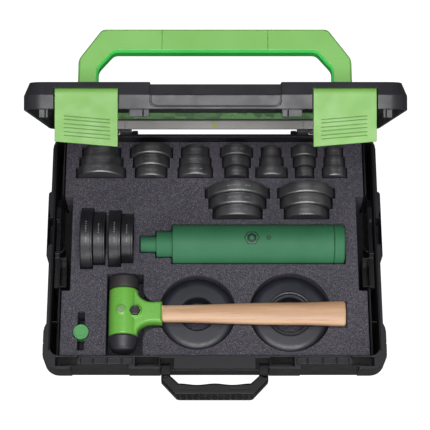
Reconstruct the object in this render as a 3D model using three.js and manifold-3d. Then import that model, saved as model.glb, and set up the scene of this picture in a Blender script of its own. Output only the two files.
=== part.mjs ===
// Bearing and bush fitting tool kit in a stackable carrying case, in millimetres, +Z up.
// The origin is the centre of the tray's underside: +X to the right, +Y towards the hinges, +Z up.
// The lid stands open, and the tools lie in a foam insert in the tray.
import * as THREE from 'three';
import { mergeVertices } from 'three/addons/utils/BufferGeometryUtils.js';
import Module from 'manifold-3d';

const wasm = await Module();
wasm.setup();

// ---------- driving dimensions ----------
const GAP = 0.3; // between pieces that touch
const SIDES = 20; // of every ring, and of the pocket that it lies in

const CASE = { width: 442, depth: 328, rimZ: 80, lidHeight: 32, corner: 22, floor: 3.5 };
const BODY_HALF = 217.5; // half width of the tray between its side bulges
const FRONT = -CASE.depth / 2;
const BACK = CASE.depth / 2;
const BAND = { bottomZ: 44, inset: 12.5, sideInset: 3 }; // the tray's base is narrower than its upper band
const BAY = { halfX: 212, front: FRONT + 17.5, back: BACK - 4.2, corner: 12 }; // the inside of the tray
const LINER = { halfX: 201.8, thick: 1.8, topZ: 74 }; // thin walls that the foam stands between
const BULGES = [[-14, 80, 4], [FRONT, -95, 20]]; // where the upper band is at its full width: y, y, corner
const CLICK_BAY = { front: -54, back: 79 }; // where each side catch sits
const CATCH_WINDOW = { front: 44, back: 74, bottomZ: 34, topZ: 60 };

const PIVOT = { y: BACK + 6, z: CASE.rimZ, radius: 5.5, pin: 2.4 }; // the lid's hinge line
const TRAY_KNUCKLES = [[112, 128], [172, 188]];
const LID_KNUCKLE = [128.6, 171.4];
const LID_OPEN_DEG = 69.5;
const HANDLE_SWING_DEG = 108.5; // from folded on the lid to standing out past square

const LATCH = { inner: 111.5, outer: 183.5, bottomZ: 37.5, topZ: 106, backY: FRONT + 6, thick: 5 };
const LATCH_PIVOT = { y: FRONT + 3.5, z: 103.5 };
const LATCH_RIBS = [119.5, 138, 156.5];
const TAB_POCKET = [72, 103];
const LUG_POCKET = [188, 205];

const GRIP = {
  pivotY: -17, pivotZ: 104, reach: 93.7, half: 169.5, leg: 25, bar: 32, thick: 17, pin: 3,
  outerCorner: [28.5, 41.3], innerCorner: [19, 23],
};
const BAIL = {
  pivotY: FRONT + 5.5, pivotZ: 68, half: 68.5, leg: 11.5, front: FRONT - 37, bar: 18, thick: 17, legThick: 9,
};

const FOAM = { halfX: 200.5, front: BAY.front + 0.4, back: BAY.back - 0.4, bottomZ: 3.8, topZ: 64, notchX: 189.5 };
const RECESS_GAP = 1.5; // between the folded carry handle and its recess in the lid
const FIT = 0.7; // clearance of a foam pocket around its tool
const RING_LENGTH = 14.7;

// Stacks of three impact rings with their axis along Y: outer diameters from the back to the front.
const STACKS = [
  { x: -153.2, back: 151.4, od: [52, 59, 67], bore: 20 },
  { x: -85.5, back: 151.4, od: [58, 49, 43], bore: 17 },
  { x: -25.8, back: 151.4, od: [38, 43, 47], bore: 15 },
  { x: 30, back: 151.4, od: [44, 38, 32], bore: 12 },
  { x: 77.4, back: 151.4, od: [27, 32, 43], bore: 10 },
  { x: 122.1, back: 151.4, od: [35, 30, 25], bore: 10 },
  { x: 162.6, back: 151.4, od: [24, 28, 33], bore: 10 },
  { x: 31, back: 91.8, od: [87, 77, 66], bore: 30 },
  { x: 123.4, back: 91.8, od: [77, 70, 60], bore: 25 },
];
const STACK_SINK = 0.33; // how far an axis lies under the foam's top, as a share of the largest radius
// Pairs of impact rings with their axis along X: outer diameters from the left to the right.
const PAIRS = [
  { x: -177, y: 20.2, od: [84, 73], bore: 35 },
  { x: -139.9, y: 20.2, od: [78, 68], bore: 30 },
];
const PAIR_SINK = 11;
const PAIR_LENGTH = 15.9;
// The two largest impact rings lie flat under the mallet's handle.
const DISCS = [
  { name: 'flat_ring_100', x: -22.5, y: -83.5, od: 100, bore: 44, seat: 44 },
  { name: 'flat_ring_106', x: 98.8, y: -83.5, od: 106, bore: 48, seat: 58 },
];
const DISC = { bottomZ: 33.5, topZ: 57 };

const SLEEVE = { y: 11, z: 63, x: [-97.8, -76.8, -55.3, 158, 171.8], od: [21.2, 35, 52.5], wall: 3.6 };
const MALLET = { x: -118.5, y: -87, z: 68, face: 20, half: 53.4, body: 32, endX: 170.5 };
const CAP = { x: -173.8, y: -110.5, radius: 10.2, bottomZ: 52, topZ: 66 };

// ---------- shapes ----------
function solid(geometry) {
  geometry.deleteAttribute('normal');
  geometry.deleteAttribute('uv');
  const merged = mergeVertices(geometry, 1e-4);
  return new wasm.Manifold(new wasm.Mesh({
    numProp: 3,
    vertProperties: new Float32Array(merged.attributes.position.array),
    triVerts: new Uint32Array(merged.index.array),
  }));
}

function geometryOf(body) {
  const mesh = body.getMesh();
  const geometry = new THREE.BufferGeometry();
  geometry.setAttribute('position', new THREE.BufferAttribute(new Float32Array(mesh.vertProperties), 3));
  geometry.setIndex(new THREE.BufferAttribute(new Uint32Array(mesh.triVerts), 1));
  return geometry;
}

function block(x0, x1, y0, y1, z0, z1) {
  const geometry = new THREE.BoxGeometry(Math.abs(x1 - x0), y1 - y0, z1 - z0);
  geometry.translate((x0 + x1) / 2, (y0 + y1) / 2, (z0 + z1) / 2);
  return solid(geometry);
}

function rodX(radius, x0, x1, y, z, sides = SIDES) {
  const geometry = new THREE.CylinderGeometry(radius, radius, Math.abs(x1 - x0), sides);
  geometry.rotateZ(Math.PI / 2);
  geometry.translate((x0 + x1) / 2, y, z);
  return solid(geometry);
}

function rodY(radius, x, y0, y1, z, sides = SIDES) {
  const geometry = new THREE.CylinderGeometry(radius, radius, y1 - y0, sides);
  geometry.translate(x, (y0 + y1) / 2, z);
  return solid(geometry);
}

function rodZ(radius, x, y, z0, z1, sides = SIDES) {
  const geometry = new THREE.CylinderGeometry(radius, radius, z1 - z0, sides);
  geometry.rotateX(Math.PI / 2);
  geometry.translate(x, y, (z0 + z1) / 2);
  return solid(geometry);
}

function roundedRectangle(halfX, y0, y1, radius) {
  const shape = new THREE.Shape();
  shape.moveTo(halfX - radius, y0);
  shape.absarc(halfX - radius, y0 + radius, radius, -Math.PI / 2, 0);
  shape.absarc(halfX - radius, y1 - radius, radius, 0, Math.PI / 2);
  shape.absarc(radius - halfX, y1 - radius, radius, Math.PI / 2, Math.PI);
  shape.absarc(radius - halfX, y0 + radius, radius, Math.PI, 1.5 * Math.PI);
  return shape;
}

function outline(points) {
  return new THREE.Shape(points.map(([x, y]) => new THREE.Vector2(x, y)));
}

function slab(shape, z0, z1) {
  const geometry = new THREE.ExtrudeGeometry(shape, { depth: z1 - z0, bevelEnabled: false, curveSegments: 4 });
  geometry.translate(0, 0, z0);
  return solid(geometry);
}

// A box-like hood whose upper edge is a steep chamfer, with its open side at z0.
function hood(halfX, y0, y1, radius, z0, z1, chamferIn, chamferUp) {
  const geometry = new THREE.ExtrudeGeometry(
    roundedRectangle(halfX - chamferIn, y0 + chamferIn, y1 - chamferIn, radius - chamferIn),
    {
      depth: z1 - z0,
      bevelThickness: chamferUp,
      bevelSize: chamferIn,
      bevelSegments: 1,
      curveSegments: 4,
    },
  );
  geometry.translate(0, 0, z0 - chamferUp);
  return solid(geometry).intersect(block(-halfX - 1, halfX + 1, y0 - 1, y1 + 1, z0, z1 + 1));
}

// A ring along Y, from y0 back to y1, as a lathe profile that closes on itself.
function ringGeometry(outer, inner, length) {
  const half = length / 2;
  const profile = [[inner, -half], [outer, -half], [outer, half], [inner, half], [inner, -half]];
  return new THREE.LatheGeometry(profile.map(([r, h]) => new THREE.Vector2(r, h)), SIDES);
}

// ---------- scene graph ----------
const kit = new THREE.Group();
const lidGroup = new THREE.Group();
lidGroup.position.set(0, PIVOT.y, PIVOT.z);
lidGroup.rotation.x = -THREE.MathUtils.degToRad(LID_OPEN_DEG);
kit.add(lidGroup);

const COLOURS = {
  shell: [0x2b2b30, 0.5, 0],
  green: [0x8fd06a, 0.45, 0],
  foam: [0x3d3c42, 0.95, 0],
  steel: [0x8d8f94, 0.35, 1],
  ring: [0x1f1f24, 0.35, 0],
  anodised: [0x3f7d55, 0.4, 0.6],
  rubber: [0x25242a, 0.7, 0],
  wood: [0xdbb48e, 0.55, 0],
  rail: [0x9a9a98, 0.6, 0],
};

function add(name, geometry, colour, parent = kit) {
  const [color, roughness, metalness] = COLOURS[colour];
  const mesh = new THREE.Mesh(geometry, new THREE.MeshStandardMaterial({ color, roughness, metalness }));
  mesh.name = name;
  parent.add(mesh);
  return mesh;
}

// Lid pieces are drawn as they lie on the closed case, then moved into the lid's own frame.
function addToLid(name, body, colour) {
  const geometry = geometryOf(body);
  geometry.translate(0, -PIVOT.y, -PIVOT.z);
  add(name, geometry, colour, lidGroup);
}

const BOTH_SIDES = [['left', -1], ['right', 1]];

// ---------- tray ----------
function tray() {
  const top = CASE.rimZ;
  const { bottomZ, inset, sideInset } = BAND;
  let body = slab(roundedRectangle(BODY_HALF, FRONT, BACK, CASE.corner), bottomZ, top);
  body = body.add(slab(roundedRectangle(BODY_HALF - sideInset, FRONT + inset, BACK, CASE.corner), 0, bottomZ + 1));
  for (const [y0, y1, radius] of BULGES) {
    body = body.add(slab(roundedRectangle(CASE.width / 2, y0, y1, radius), bottomZ, top));
  }
  const bay = roundedRectangle(BAY.halfX, BAY.front, BAY.back, BAY.corner);
  body = body.subtract(slab(bay, CASE.floor, top + 1));
  for (const [, side] of BOTH_SIDES) {
    body = traySide(body, side);
    body = trayFront(body, side);
    body = trayHinge(body, side);
  }
  const recess = block(-70, 70, FRONT - 1, FRONT + 14.5, 23.5, 75.5);
  return body.subtract(recess);
}

function traySide(body, side) {
  const { halfX, thick, topZ } = LINER;
  for (const [y0, y1] of [[BAY.front - 1, CLICK_BAY.front], [CLICK_BAY.back, BAY.back + 1]]) {
    body = body.add(block(side * halfX, side * (halfX + thick), y0, y1, 1, topZ));
  }
  for (const [y0, y1] of [[-88, -20], [86, 140]]) {
    body = body.subtract(block(side * 214.5, side * 222, y0, y1, BAND.bottomZ - 1, 70));
  }
  const { front, back, bottomZ, topZ: windowTop } = CATCH_WINDOW;
  return body.subtract(block(side * 211, side * 222, front, back, bottomZ, windowTop));
}

function trayFront(body, side) {
  const top = CASE.rimZ + 1;
  let zone = block(side * 110.5, side * 184.5, FRONT - 1, FRONT + 11, BAND.bottomZ - 1, top);
  for (const x of LATCH_RIBS) {
    zone = zone.subtract(block(side * (x - 1), side * (x + 1), FRONT + 6.4, FRONT + 12, 33, top + 1));
  }
  body = body.subtract(zone);
  for (const [x0, x1] of [TAB_POCKET, LUG_POCKET]) {
    body = body.subtract(block(side * x0, side * x1, FRONT + 3.5, FRONT + 14, 50, top));
  }
  body = body.subtract(block(side * 52.5, side * 70, FRONT - 1, FRONT + 14.5, 70, top));
  return body.subtract(rodX(3.4, side * 69, side * 73, BAIL.pivotY, BAIL.pivotZ, 12));
}

function trayHinge(body, side) {
  for (const [x0, x1] of TRAY_KNUCKLES) {
    body = body.add(block(side * x0, side * x1, BACK - 2, PIVOT.y, PIVOT.z - PIVOT.radius, PIVOT.z));
    body = body.add(rodX(PIVOT.radius, side * x0, side * x1, PIVOT.y, PIVOT.z, 16));
  }
  return body.subtract(rodX(PIVOT.pin + 0.5, side * 111, side * 189, PIVOT.y, PIVOT.z, 16));
}

// ---------- foam insert ----------
function foam() {
  const { halfX, front, back, bottomZ, topZ, notchX } = FOAM;
  let body = block(-halfX, halfX, front, back, bottomZ, topZ);
  for (const [, side] of BOTH_SIDES) {
    const notch = block(side * notchX, side * (halfX + 1), CLICK_BAY.front, CLICK_BAY.back, bottomZ - 1, topZ + 1);
    body = body.subtract(notch);
  }
  for (const cutter of [...stackPockets(), ...pairPockets(), ...discPockets(), ...toolPockets()]) {
    body = body.subtract(cutter);
  }
  return body;
}

function stackPockets() {
  return STACKS.flatMap((stack) => placeStack(stack).map(({ radius, y0, y1 }) => {
    const r = radius + FIT;
    const z = stackAxisZ(stack);
    return rodY(r, stack.x, y0 - FIT, y1 + FIT, z)
      .add(block(stack.x - r, stack.x + r, y0 - FIT, y1 + FIT, z, FOAM.topZ + 1));
  }));
}

function pairPockets() {
  return PAIRS.flatMap((pair) => placePair(pair).map(({ radius, x0, x1 }) => {
    const r = radius + FIT;
    const z = FOAM.topZ - PAIR_SINK;
    return rodX(r, x0 - FIT, x1 + FIT, pair.y, z)
      .add(block(x0 - FIT, x1 + FIT, pair.y - r - 3, pair.y + r, z, FOAM.topZ + 1));
  }));
}

function discPockets() {
  return DISCS.map(({ x, y, od }) => rodZ(od / 2 + FIT, x, y, DISC.bottomZ - FIT, FOAM.topZ + 1, 32));
}

function toolPockets() {
  const top = FOAM.topZ + 1;
  const sleeves = SLEEVE.od.map((od, i) => {
    const r = od / 2 + FIT;
    const x0 = SLEEVE.x[i] - FIT;
    const x1 = i === 2 ? SLEEVE.x[4] + FIT : SLEEVE.x[i + 1] + FIT;
    return rodX(r, x0, x1, SLEEVE.y, SLEEVE.z).add(block(x0, x1, SLEEVE.y - r, SLEEVE.y + r, SLEEVE.z, top));
  });
  const { x, y, z, face, half, endX } = MALLET;
  const head = block(x - face - 2.5, x + face + 7, y - half - 2, y + half + 2, z - face - 2, top);
  const neck = block(x, -62, y - 21.5, y + 21.5, z - 14, top);
  const handle = block(-61, endX + 3, y - 14.5, y + 14.5, z - 12, top);
  const handleEnd = block(140, endX + 3, y - 18.5, y + 18.5, z - 13, top);
  const cap = rodZ(CAP.radius + FIT, CAP.x, CAP.y, CAP.bottomZ - FIT, top);
  const fingers = block(CAP.x - 5, CAP.x + 5, CAP.y - 25, CAP.y + 28, 44, top);
  return [...sleeves, head, neck, handle, handleEnd, cap, fingers];
}

// ---------- impact rings ----------
function stackAxisZ(stack) {
  return FOAM.topZ - (STACK_SINK * Math.max(...stack.od)) / 2;
}

function placeStack(stack) {
  return stack.od.map((od, i) => {
    const y1 = stack.back - i * (RING_LENGTH + GAP);
    return { radius: od / 2, y0: y1 - RING_LENGTH, y1 };
  });
}

function placePair(pair) {
  return pair.od.map((od, i) => {
    const x0 = pair.x + i * (PAIR_LENGTH + GAP);
    return { radius: od / 2, x0, x1: x0 + PAIR_LENGTH };
  });
}

function addRings() {
  STACKS.forEach((stack, n) => placeStack(stack).forEach(({ radius, y0, y1 }, i) => {
    const geometry = ringGeometry(radius, stack.bore / 2, RING_LENGTH);
    const ring = add(`stack${n + 1}_ring_${stack.od[i]}`, geometry, 'ring');
    ring.position.set(stack.x, (y0 + y1) / 2, stackAxisZ(stack));
  }));
  PAIRS.forEach((pair, n) => placePair(pair).forEach(({ radius, x0, x1 }, i) => {
    const geometry = ringGeometry(radius, pair.bore / 2, PAIR_LENGTH);
    geometry.rotateZ(Math.PI / 2);
    const ring = add(`pair${n + 1}_ring_${pair.od[i]}`, geometry, 'ring');
    ring.position.set((x0 + x1) / 2, pair.y, FOAM.topZ - PAIR_SINK);
  }));
  for (const disc of DISCS) {
    const ring = add(disc.name, discGeometry(disc), 'ring');
    ring.rotation.x = Math.PI / 2;
    ring.position.set(disc.x, disc.y, 0);
  }
}

// A flat ring with a wide sloping shoulder and, on the larger one, a seat around its bore.
function discGeometry({ od, bore, seat }) {
  const { bottomZ, topZ } = DISC;
  const profile = [[bore / 2, bottomZ], [od / 2, bottomZ], [od / 2, topZ - 8], [od / 2 - 9, topZ - 1]];
  if (seat > bore) {
    profile.push([seat / 2, topZ], [seat / 2, topZ - 5], [bore / 2, topZ - 5]);
  } else {
    profile.push([bore / 2, topZ]);
  }
  profile.push(profile[0]);
  return new THREE.LatheGeometry(profile.map(([r, h]) => new THREE.Vector2(r, h)), 32);
}

// ---------- impact sleeves, nested ----------
function addSleeves() {
  const [smallX, mediumX, largeX, capX, endX] = SLEEVE.x;
  const inner = [147, 150, capX - GAP];
  const names = ['impact_sleeve_small', 'impact_sleeve_medium', 'impact_sleeve_large'];
  [smallX, mediumX, largeX].forEach((x0, i) => {
    const outer = SLEEVE.od[i] / 2;
    const bore = i === 0 ? outer - SLEEVE.wall : SLEEVE.od[i - 1] / 2 + 0.5;
    const geometry = ringGeometry(outer, bore, inner[i] - x0);
    geometry.rotateZ(Math.PI / 2);
    add(names[i], geometry, 'anodised').position.set((x0 + inner[i]) / 2, SLEEVE.y, SLEEVE.z);
  });
  const outer = SLEEVE.od[2] / 2;
  const cap = rodX(outer, capX, endX, SLEEVE.y, SLEEVE.z)
    .add(rodX(SLEEVE.od[1] / 2 - 0.2, 151.5, capX + 1, SLEEVE.y, SLEEVE.z));
  add('strike_cap', geometryOf(cap), 'anodised');
}

// ---------- mallet ----------
function addMallet() {
  const { x, y, z, face, half, body } = MALLET;
  const boltX = x + 15.5;
  const neckShape = outline([
    [x + 8, y - body], [x + 17, y - body], [x + 24, y - 21], [x + 34, y - 14], [-68, y - 13],
    [-68, y + 13], [x + 34, y + 14], [x + 24, y + 21], [x + 17, y + body], [x + 8, y + body],
  ]);
  const housing = rodY(face - 1, x, y - body, y + body, z)
    .add(slab(neckShape, z - 12, z + 12))
    .subtract(block(x + 23, -67, y - 9.3, y + 9.3, z - 7.3, z + 7.3))
    .subtract(rodZ(3.3, boltX, y, z - 30, z + 30, 12))
    .subtract(rodZ(8, boltX, y, z + 12.5, z + 30, 12))
    .subtract(rodY(8.3, x, y - body - 1, y - body + 12, z, 12))
    .subtract(rodY(8.3, x, y + body - 12, y + body + 1, z, 12));
  add('mallet_housing', geometryOf(housing), 'green');
  for (const [name, side] of [['front', -1], ['rear', 1]]) {
    const near = y + side * (body + GAP);
    const far = y + side * half;
    const stem = y + side * (body - 11);
    const insert = rodY(face, x, Math.min(near, far), Math.max(near, far), z)
      .add(rodY(8, x, Math.min(stem, near + side), Math.max(stem, near + side), z, 12));
    add(`mallet_face_${name}`, geometryOf(insert), 'rubber');
  }
  const bolt = rodZ(3, boltX, y, z - 14, z + 14, 12).add(rodZ(6.9, boltX, y, z + 13, z + 18.5, 6));
  add('mallet_clamp_bolt', geometryOf(bolt), 'rubber');
  add('mallet_handle', geometryOf(handleBody()), 'wood');
}

// The hickory handle: an oval that swells towards a crowned end, with a square tenon in the housing.
function handleBody() {
  const { x, y, z, endX } = MALLET;
  const start = -68 + GAP;
  const profile = [
    [0, start], [11, start], [11.4, -30], [13, 20], [14.2, 60], [14.6, 105], [16, 150], [16.6, endX - 5],
    [15, endX - 1.5], [0, endX],
  ];
  const geometry = new THREE.LatheGeometry(profile.map(([r, h]) => new THREE.Vector2(r, h)), 16);
  geometry.rotateZ(-Math.PI / 2);
  geometry.scale(1, 1, 0.62);
  geometry.translate(0, y, z);
  return solid(geometry).add(block(x + 24, start + 1, y - 9, y + 9, z - 7, z + 7));
}

// ---------- small cap in its finger slot ----------
function addCap() {
  const { x, y, radius, bottomZ, topZ } = CAP;
  const profile = [[0, bottomZ], [radius, bottomZ], [radius, topZ - 1.5], [radius - 1.5, topZ], [0, topZ]];
  const cap = new THREE.LatheGeometry(profile.map(([r, h]) => new THREE.Vector2(r, h)), SIDES);
  cap.rotateX(Math.PI / 2);
  add('green_cap', cap, 'green').position.set(x, y, 0);
}

// ---------- side catches that link stacked cases ----------
function sideCatch(side) {
  const { front, back, bottomZ, topZ } = CATCH_WINDOW;
  return block(side * 204.5, side * 210.5, CLICK_BAY.front + 3, CLICK_BAY.back - 3, 8, 70)
    .add(block(side * 210, side * 219, front + 3, back - 3, bottomZ + 6, topZ - 6))
    .add(block(side * 194.5, side * 205, -50, -20, 52, 70));
}

// ---------- folding handle on the tray's front ----------
function frontHandle() {
  const { pivotY, pivotZ, half, leg, front, bar, thick, legThick } = BAIL;
  const inner = half - leg;
  const legEnd = pivotY - 12;
  const corner = half - 23;
  const grip = slab(outline([
    [-half, legEnd], [-half, front + 22], [-corner, front], [corner, front], [half, front + 22],
    [half, legEnd], [inner, legEnd], [inner, front + bar + 10], [inner - 10, front + bar],
    [10 - inner, front + bar], [-inner, front + bar + 10], [-inner, legEnd],
  ]), pivotZ - thick / 2, pivotZ + thick / 2);
  let body = grip;
  for (const [, side] of BOTH_SIDES) {
    body = body
      .add(block(side * inner, side * half, legEnd - 1, pivotY, pivotZ - legThick / 2, pivotZ + legThick / 2))
      .add(rodX(legThick / 2, side * inner, side * half, pivotY, pivotZ, 16))
      .add(rodX(3, side * (half - 1), side * (half + 3.2), pivotY, pivotZ, 12));
  }
  return body;
}

// ---------- lid ----------
function lid() {
  const rim = CASE.rimZ + GAP;
  const top = CASE.rimZ + CASE.lidHeight;
  let body = hood(CASE.width / 2, FRONT, BACK, CASE.corner, rim, top, 6, 13);
  body = body.subtract(hood(CASE.width / 2 - 3.5, FRONT + 3.5, BACK - 3.5, 19, rim - 1, top - 3, 5, 13));
  for (const [, side] of BOTH_SIDES) {
    body = body.add(block(side * 106.5, side * 187.5, FRONT + 3, FRONT + 10.5, rim, top - 3.5));
  }
  body = handleRecess(body, top);
  for (const [, side] of BOTH_SIDES) {
    body = body.subtract(block(side * 110.5, side * 184.5, FRONT - 1, FRONT + 7, rim - 1, top - 5));
    body = body.subtract(rodX(2.6, side * 108.5, side * 186.5, LATCH_PIVOT.y, LATCH_PIVOT.z, 12));
    body = lidFingers(body, side, rim);
    body = lidHinge(body, side, rim);
  }
  return body.subtract(block(-74, 74, FRONT - 1, FRONT + 1.5, rim + 3, top - 12));
}

// The folded carry handle lies in a U-shaped recess in the lid's top, with a thin wall around it.
function handleRecess(body, top) {
  const { pivotY, pivotZ, half, thick, pin } = GRIP;
  const floorZ = pivotZ - thick / 2 - 1;
  const skin = 2.2;
  body = body.add(slab(recessOutline(RECESS_GAP + skin), floorZ - skin, top - 1));
  body = body.subtract(slab(recessOutline(RECESS_GAP), floorZ, top + 1));
  for (const [, side] of BOTH_SIDES) {
    body = body.subtract(rodX(pin + 0.4, side * (half - 30), side * (half + 10), pivotY, pivotZ, 12));
  }
  return body;
}

function recessOutline(grow) {
  const { pivotY, reach, half, leg, bar, innerCorner: [cutX, cutY] } = GRIP;
  const outer = half + grow;
  const inner = half - leg - grow;
  const front = pivotY - reach - grow;
  const barBack = pivotY - reach + bar + grow;
  const back = pivotY + 13.5 + grow;
  return outline([
    [-outer, back], [-outer, front], [outer, front], [outer, back], [inner, back], [inner, barBack + cutY],
    [inner - cutX, barBack], [cutX - inner, barBack], [-inner, barBack + cutY], [-inner, back],
  ]);
}

// Tabs and lugs that reach down into the tray's front pockets when the lid is shut.
function lidFingers(body, side, rim) {
  const fingers = [[TAB_POCKET[0] + 4, TAB_POCKET[1] - 4, 72], [LUG_POCKET[0] + 3.5, LUG_POCKET[1] - 3, 71]];
  for (const [x0, x1, bottom] of fingers) {
    body = body.add(block(side * x0, side * x1, FRONT + 3, FRONT + 10.5, rim, rim + 6));
    body = body.add(block(side * x0, side * x1, FRONT + 6.5, FRONT + 10.5, bottom, rim + 6));
  }
  return body;
}

function lidHinge(body, side, rim) {
  const [x0, x1] = LID_KNUCKLE;
  body = body.add(block(side * x0, side * x1, BACK - 2, PIVOT.y, rim, rim + PIVOT.radius));
  body = body.add(rodX(PIVOT.radius, side * x0, side * x1, PIVOT.y, PIVOT.z, 16));
  return body.subtract(rodX(PIVOT.pin + 0.5, side * 127, side * 173, PIVOT.y, PIVOT.z, 16));
}

// ---------- latches ----------
function latch(side) {
  const { inner, outer, bottomZ, topZ, backY, thick } = LATCH;
  const plate = block(side * inner, side * outer, backY - thick, backY, bottomZ, topZ - 4);
  const lip = block(side * (inner + 4), side * (outer - 4), backY - 1, backY + 3, bottomZ, bottomZ + 3);
  const barrel = rodX(2.5, side * inner, side * outer, LATCH_PIVOT.y, LATCH_PIVOT.z, 12);
  const stubs = rodX(2, side * (inner - 2.5), side * (outer + 2.5), LATCH_PIVOT.y, LATCH_PIVOT.z, 12);
  const slant = outline([[outer + 1, bottomZ - 1], [outer + 1, bottomZ + 5], [inner - 1, bottomZ - 1]]);
  const wedge = new THREE.ExtrudeGeometry(slant, { depth: 20, bevelEnabled: false });
  wedge.rotateX(Math.PI / 2);
  wedge.translate(0, FRONT + 13, 0);
  let cut = solid(wedge);
  if (side < 0) {
    cut = cut.mirror([1, 0, 0]);
  }
  return plate.add(lip).subtract(cut).add(barrel).add(stubs);
}

// ---------- carry handle on the lid ----------
// It is drawn folded towards the lid's front edge, then swung out until it points straight back.
function addCarryHandle() {
  const { pivotY, pivotZ, reach, half, leg, bar, thick, pin } = GRIP;
  const [outX, outY] = GRIP.outerCorner;
  const [inX, inY] = GRIP.innerCorner;
  const inner = half - leg;
  const swing = new THREE.Group();
  swing.position.set(0, pivotY - PIVOT.y, pivotZ - PIVOT.z);
  swing.rotation.x = -THREE.MathUtils.degToRad(HANDLE_SWING_DEG);
  lidGroup.add(swing);
  let body = slab(outline([
    [-half, 0], [-half, outY - reach], [outX - half, -reach], [half - outX, -reach], [half, outY - reach], [half, 0],
    [inner, 0], [inner, bar + inY - reach], [inner - inX, bar - reach], [inX - inner, bar - reach],
    [-inner, bar + inY - reach], [-inner, 0],
  ]), -thick / 2, thick / 2);
  for (const [name, side] of BOTH_SIDES) {
    body = body.add(rodX(thick / 2, side * inner, side * half, 0, 0, 16));
    body = body.subtract(rodX(pin + 0.4, side * (inner - 1), side * (half + 1), 0, 0, 12));
    const x0 = side * (inner - 3.5);
    const x1 = side * (half + 5);
    addToLid(`carry_handle_pin_${name}`, rodX(pin, x0, x1, pivotY, pivotZ, 12), 'steel');
  }
  add('carry_handle', geometryOf(body), 'green', swing);
}

// ---------- assembly ----------
add('case_tray', geometryOf(tray()), 'shell');
add('tray_foam', geometryOf(foam()), 'foam');
addRings();
addSleeves();
addMallet();
addCap();
add('front_handle', geometryOf(frontHandle()), 'shell');
addToLid('case_lid', lid(), 'shell');
addToLid('lid_rail', block(-196, 196, BACK - 9, BACK - 4.2, CASE.rimZ + 0.8, CASE.rimZ + 13), 'rail');
addToLid('lid_label', block(-196, 196, BACK - 10, BACK - 6.4, CASE.rimZ + 14.3, CASE.rimZ + 22.4), 'green');
addCarryHandle();
for (const [name, side] of BOTH_SIDES) {
  add(`side_catch_${name}`, geometryOf(sideCatch(side)), 'shell');
  addToLid(`latch_${name}`, latch(side), 'green');
  const pin = rodX(PIVOT.pin, side * 113, side * 187, PIVOT.y, PIVOT.z, 16);
  add(`hinge_pin_${name}`, geometryOf(pin), 'steel');
}

export default kit;
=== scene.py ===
"""Looks of a bearing fitting tool kit in its carrying case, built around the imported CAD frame.

Sizes are in millimetres until a piece is made, and come from the frame's own nodes and hinge line.
Pieces of the lid are drawn as on the closed case and then swung to the angle at which the lid stands.
"""

from math import copysign, cos, hypot, pi, radians, sin

import bmesh
import bpy
from mathutils import Matrix, Vector


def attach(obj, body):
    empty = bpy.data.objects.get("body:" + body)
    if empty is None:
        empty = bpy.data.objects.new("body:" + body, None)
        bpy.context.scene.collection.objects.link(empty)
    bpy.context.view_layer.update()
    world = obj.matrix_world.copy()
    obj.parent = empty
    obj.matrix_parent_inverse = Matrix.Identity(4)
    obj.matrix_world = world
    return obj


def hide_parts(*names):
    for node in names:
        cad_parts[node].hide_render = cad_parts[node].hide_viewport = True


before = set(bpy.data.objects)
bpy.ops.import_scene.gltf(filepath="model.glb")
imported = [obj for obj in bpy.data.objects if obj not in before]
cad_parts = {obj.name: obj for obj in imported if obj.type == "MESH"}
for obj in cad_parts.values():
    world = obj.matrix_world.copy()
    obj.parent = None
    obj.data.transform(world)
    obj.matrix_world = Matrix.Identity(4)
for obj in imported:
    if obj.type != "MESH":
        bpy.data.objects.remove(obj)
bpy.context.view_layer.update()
MM = 0.001


# ---------- sizes from the frame ----------
def extent(node, matrix=Matrix()):
    """Lowest and highest corner of a CAD node in mm, after an optional change of frame."""
    points = [matrix @ (v.co * 1000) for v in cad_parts[node].data.vertices]
    low = Vector([min(p[i] for p in points) for i in range(3)])
    high = Vector([max(p[i] for p in points) for i in range(3)])
    return low, high


def about(pivot_y, pivot_z, degrees):
    """A turn about an axis along X through a point given by y and z."""
    turn = Matrix.Rotation(radians(degrees), 4, "X")
    return Matrix.Translation((0, pivot_y, pivot_z)) @ turn @ Matrix.Translation((0, -pivot_y, -pivot_z))


TRAY_LOW, TRAY_HIGH = extent("case_tray")
HINGE_LOW, HINGE_HIGH = extent("hinge_pin_right")
HINGE_Y = (HINGE_LOW.y + HINGE_HIGH.y) / 2
RIM = (HINGE_LOW.z + HINGE_HIGH.z) / 2
LID_ANGLE = 69.5
LID_OPEN = about(HINGE_Y, RIM, -LID_ANGLE)
LID_CLOSED = LID_OPEN.inverted()

HALF = TRAY_HIGH.x
FRONT = TRAY_LOW.y
BACK = HINGE_Y - 6
BODY_HALF = HALF - 3.5
BAND_Z = 44
CORNER = 22
LID_TOP = extent("case_lid", LID_CLOSED)[1].z
LID_RIM = RIM + 0.5
LID_BEND = LID_TOP - 15.4

BAY = {"x": 212, "front": FRONT + 17.5, "back": BACK - 4.2, "corner": 12, "floor": 3.5}
CATCH_BAY = (-54, 79)
SOCKET = {"half": 70, "depth": 14.5, "floor": 23.5, "top": 75.5}
KNUCKLE = {"radius": 5.5, "bore": 2.9, "tray": ((112, 128), (172, 188)), "lid": (128.6, 171.4)}
LATCH = {"inner": 111.5, "outer": 183.5, "slant": 6.0}
GRIP = {"y": -17, "z": 104, "swing": 108.5, "half": 169.5, "leg": 25, "bar": 32, "reach": 93.7,
        "thick": 17, "bore": 3.4}
POCKET_TOP = 66
POCKET_FIT = 0.7
SLEEVE_FIT = 1.9
SLEEVE_ENDS = {"impact_sleeve_small": -76, "impact_sleeve_medium": -55, "impact_sleeve_large": 172.5}

SIDES = (-1, 1)
NAMED_SIDES = (("left", -1), ("right", 1))
OVER = 1  # a cut runs this far past the face that it opens
SHARP = radians(20.5)
WHITE = (1, 1, 1, 1)


# ---------- solids, in mm ----------
def finish_solid(bm):
    bmesh.ops.recalc_face_normals(bm, faces=bm.faces)
    return bm


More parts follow.
